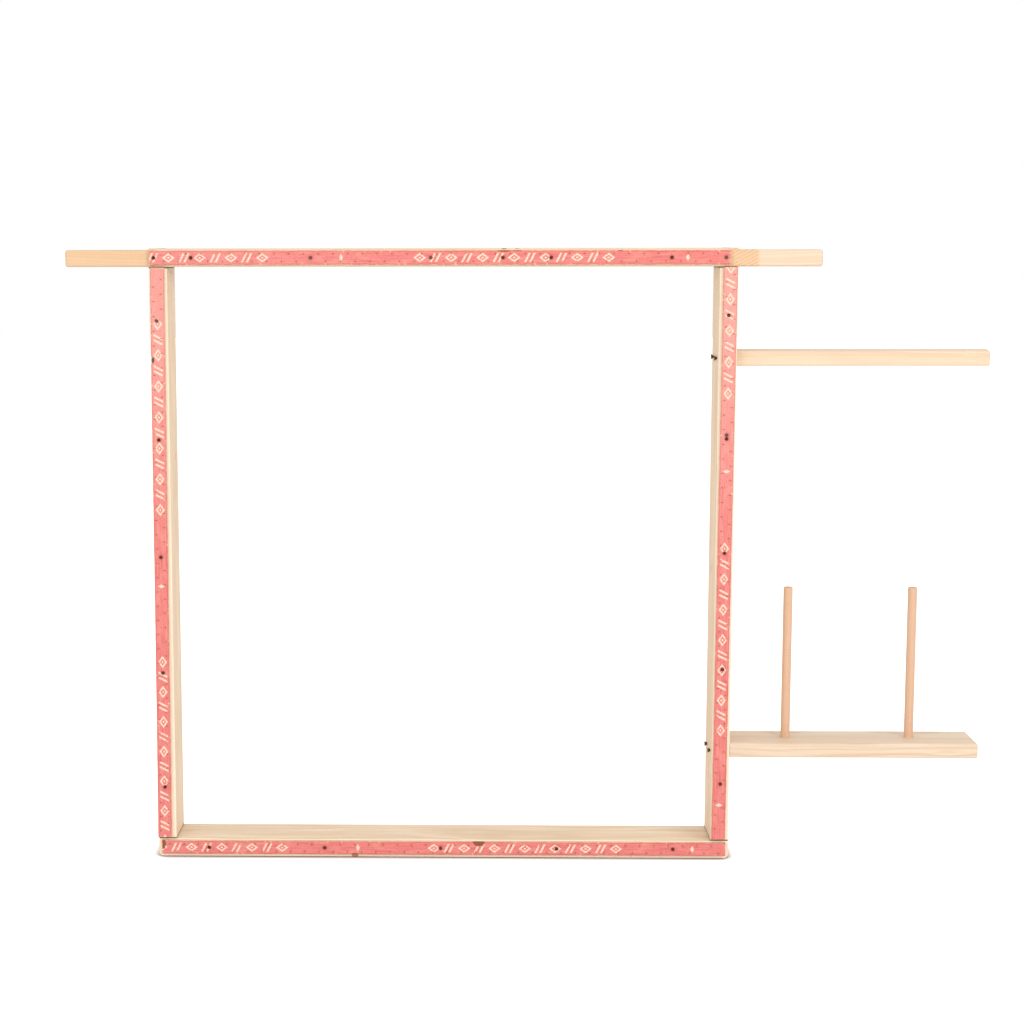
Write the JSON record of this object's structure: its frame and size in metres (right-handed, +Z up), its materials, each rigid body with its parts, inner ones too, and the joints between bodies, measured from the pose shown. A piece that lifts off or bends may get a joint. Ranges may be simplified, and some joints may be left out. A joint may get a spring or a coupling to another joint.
{
  "type": "rug tufting frame",
  "caption": "Upright square timber frame faced with spiked gripper strip for stretching tufting cloth, with side arms, a yarn shelf with lift-out pegs and a guide bar.",
  "frame": {"origin": "middle of the bottom rail's underside, where the frame stands: centred between the stiles and front to back in the planks' depth", "axes": "+Z up, +X along the rails towards the yarn shelf, +Y from the spiked front towards the back"},
  "size_m": [1.5854, 0.107, 1.0623],
  "materials": {
    "planed_pine": "planed, unvarnished",
    "red_gripper_strip": "thin red stain on softwood, printed marks",
    "bright_pin_steel": "drawn wire, dull",
    "dark_nail_steel": "dark, slightly rusted",
    "black_screw_steel": "black phosphate",
    "beech_dowel": "turned, sanded"
  },
  "bodies": {
    "frame": {"bottom_rail": "planed_pine", "top_rail": "planed_pine", "left_stile": "planed_pine", "right_stile": "planed_pine", "gripper_strip_top": "red_gripper_strip", "gripper_strip_bottom": "red_gripper_strip", "gripper_strip_left": "red_gripper_strip", "gripper_strip_right": "red_gripper_strip", "gripper_pins_top": "bright_pin_steel", "gripper_pins_bottom": "bright_pin_steel", "gripper_pins_left": "bright_pin_steel", "gripper_pins_right": "bright_pin_steel", "strip_nails_top": "dark_nail_steel", "strip_nails_bottom": "dark_nail_steel", "strip_nails_left": "dark_nail_steel", "strip_nails_right": "dark_nail_steel", "corner_screws_top_left": "black_screw_steel", "corner_screws_top_right": "black_screw_steel", "corner_screws_bottom_left": "black_screw_steel", "corner_screws_bottom_right": "black_screw_steel", "yarn_shelf": "planed_pine", "shelf_screws": "black_screw_steel", "guide_bar": "planed_pine", "guide_bar_screws": "black_screw_steel", "edge_screw": "black_screw_steel"},
    "inner_peg": {"yarn_peg_inner": "beech_dowel"},
    "outer_peg": {"yarn_peg_outer": "beech_dowel"}
  },
  "joints": [
    {"name": "inner_peg_lift", "type": "slide", "parent": "frame", "child": "inner_peg", "axis": [0, 0, 1], "range_m": [0, 0.03]},
    {"name": "outer_peg_lift", "type": "slide", "parent": "frame", "child": "outer_peg", "axis": [0, 0, 1], "range_m": [0, 0.03]}
  ]
}
